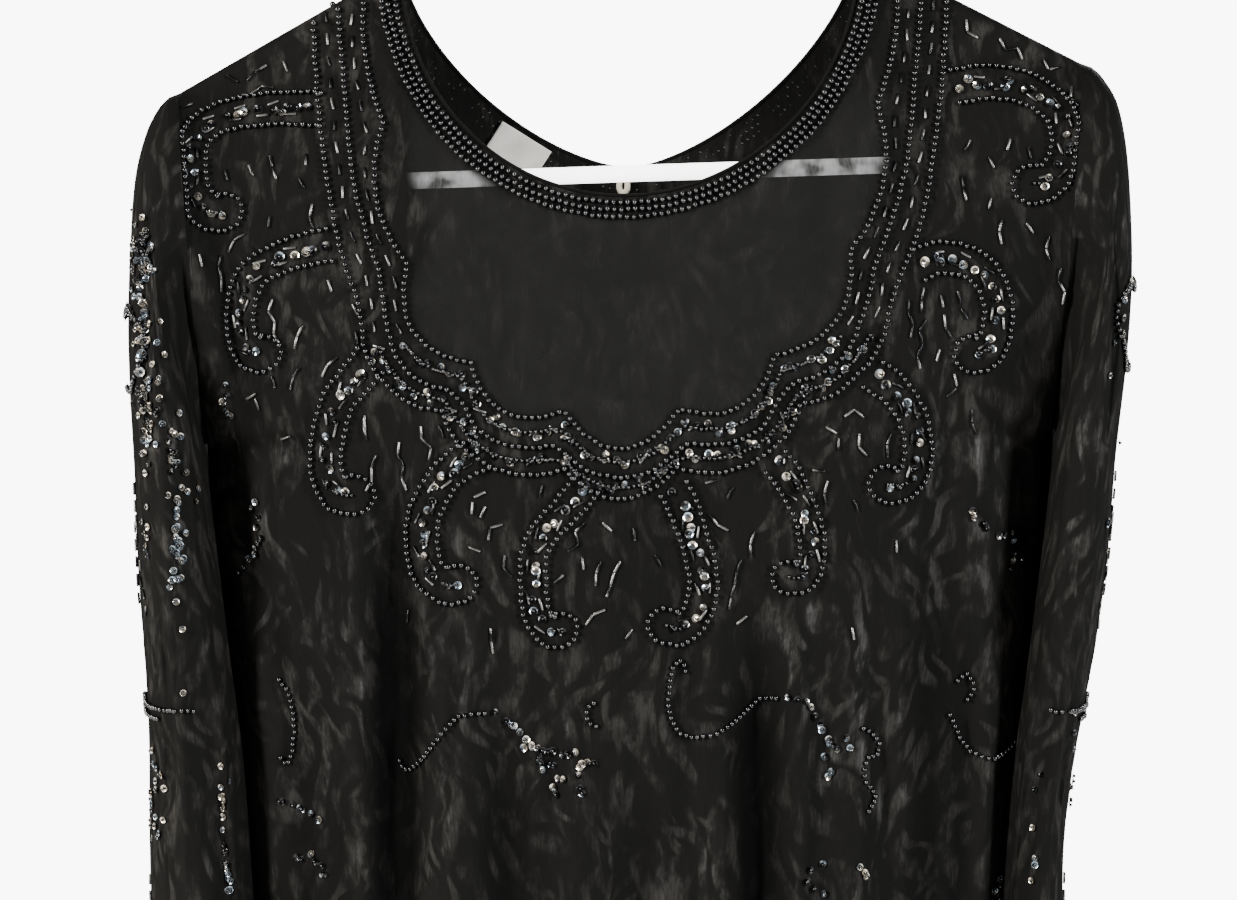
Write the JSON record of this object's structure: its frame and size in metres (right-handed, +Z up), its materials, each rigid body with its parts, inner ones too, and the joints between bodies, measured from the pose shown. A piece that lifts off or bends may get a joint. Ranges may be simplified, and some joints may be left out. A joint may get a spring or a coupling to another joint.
{
  "type": "beaded dropped-waist dress on a hanger",
  "caption": "Long-sleeved black figured silk dress with a beaded sheer yoke, dropped waist and gathered skirt, hung on a plain white tube hanger.",
  "frame": {"origin": "inside top of the hanger's hook, where a rail holds it", "axes": "+Z up, the dress hanging down; the front faces -Y; +X to the right as seen from the front"},
  "size_m": [0.454, 0.1945, 1.1971],
  "materials": {
    "figured_silk": "semi-sheer black silk with a soft tone-on-tone swirl figure",
    "bead_glass": "glossy opaque black glass beads, bugles and sequins",
    "white_satin": "blank off-white satin label",
    "cream_tape": "cream cotton tape",
    "white_plastic": "smooth white moulded plastic tube"
  },
  "bodies": {
    "root": {"bodice_front": "figured_silk", "bodice_back": "figured_silk", "sleeve_left": "figured_silk", "sleeve_right": "figured_silk", "skirt_front": "figured_silk", "skirt_back": "figured_silk", "neck_beading_front": "bead_glass", "neck_beading_back": "bead_glass", "yoke_beading": "bead_glass", "curl_left_1": "bead_glass", "curl_left_2": "bead_glass", "curl_left_3": "bead_glass", "curl_left_4": "bead_glass", "curl_left_5": "bead_glass", "curl_right_1": "bead_glass", "curl_right_2": "bead_glass", "curl_right_3": "bead_glass", "curl_right_4": "bead_glass", "curl_right_5": "bead_glass", "neck_label": "white_satin", "neck_loop": "cream_tape", "hanger": "white_plastic"}
  },
  "joints": []
}
